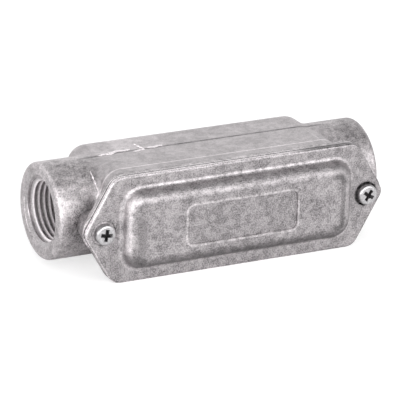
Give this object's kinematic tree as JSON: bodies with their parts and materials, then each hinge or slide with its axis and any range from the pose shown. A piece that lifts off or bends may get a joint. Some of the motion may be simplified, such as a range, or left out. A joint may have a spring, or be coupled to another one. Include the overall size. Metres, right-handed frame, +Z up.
{
  "type": "conduit body",
  "caption": "Straight-through die-cast conduit body with threaded hubs, a gasketed domed cover and pan head cover screws.",
  "frame": {"origin": "middle of the bounding box in X and Y, at the level it stands on", "axes": "X along the conduit run, cover facing -Y, +Z up"},
  "size_m": [0.1118, 0.0452, 0.0346],
  "materials": {
    "cast_aluminium": "as cast, tumbled, fine grey mottle",
    "cover_aluminium": "as cast, slightly rougher and darker than the body",
    "gasket_rubber": "matt black sheet",
    "plated_steel": "bright zinc plate"
  },
  "bodies": {
    "casting": {"conduit_body": "cast_aluminium"},
    "cover_plate": {"cover": "cover_aluminium", "gasket": "gasket_rubber"},
    "left_screw": {"cover_screw_left": "plated_steel"},
    "right_screw": {"cover_screw_right": "plated_steel"}
  },
  "joints": [
    {"name": "cover_lift", "type": "slide", "parent": "casting", "child": "cover_plate", "axis": [0, -1, 0], "range_m": [0, 0.03]},
    {"name": "left_screw_turn", "type": "hinge", "parent": "cover_plate", "child": "left_screw", "pos_m": [-0.0458, -0.018, 0.0173], "axis": [0, 1, 0], "continuous": true},
    {"name": "right_screw_turn", "type": "hinge", "parent": "cover_plate", "child": "right_screw", "pos_m": [0.0458, -0.018, 0.0173], "axis": [0, 1, 0], "continuous": true}
  ]
}
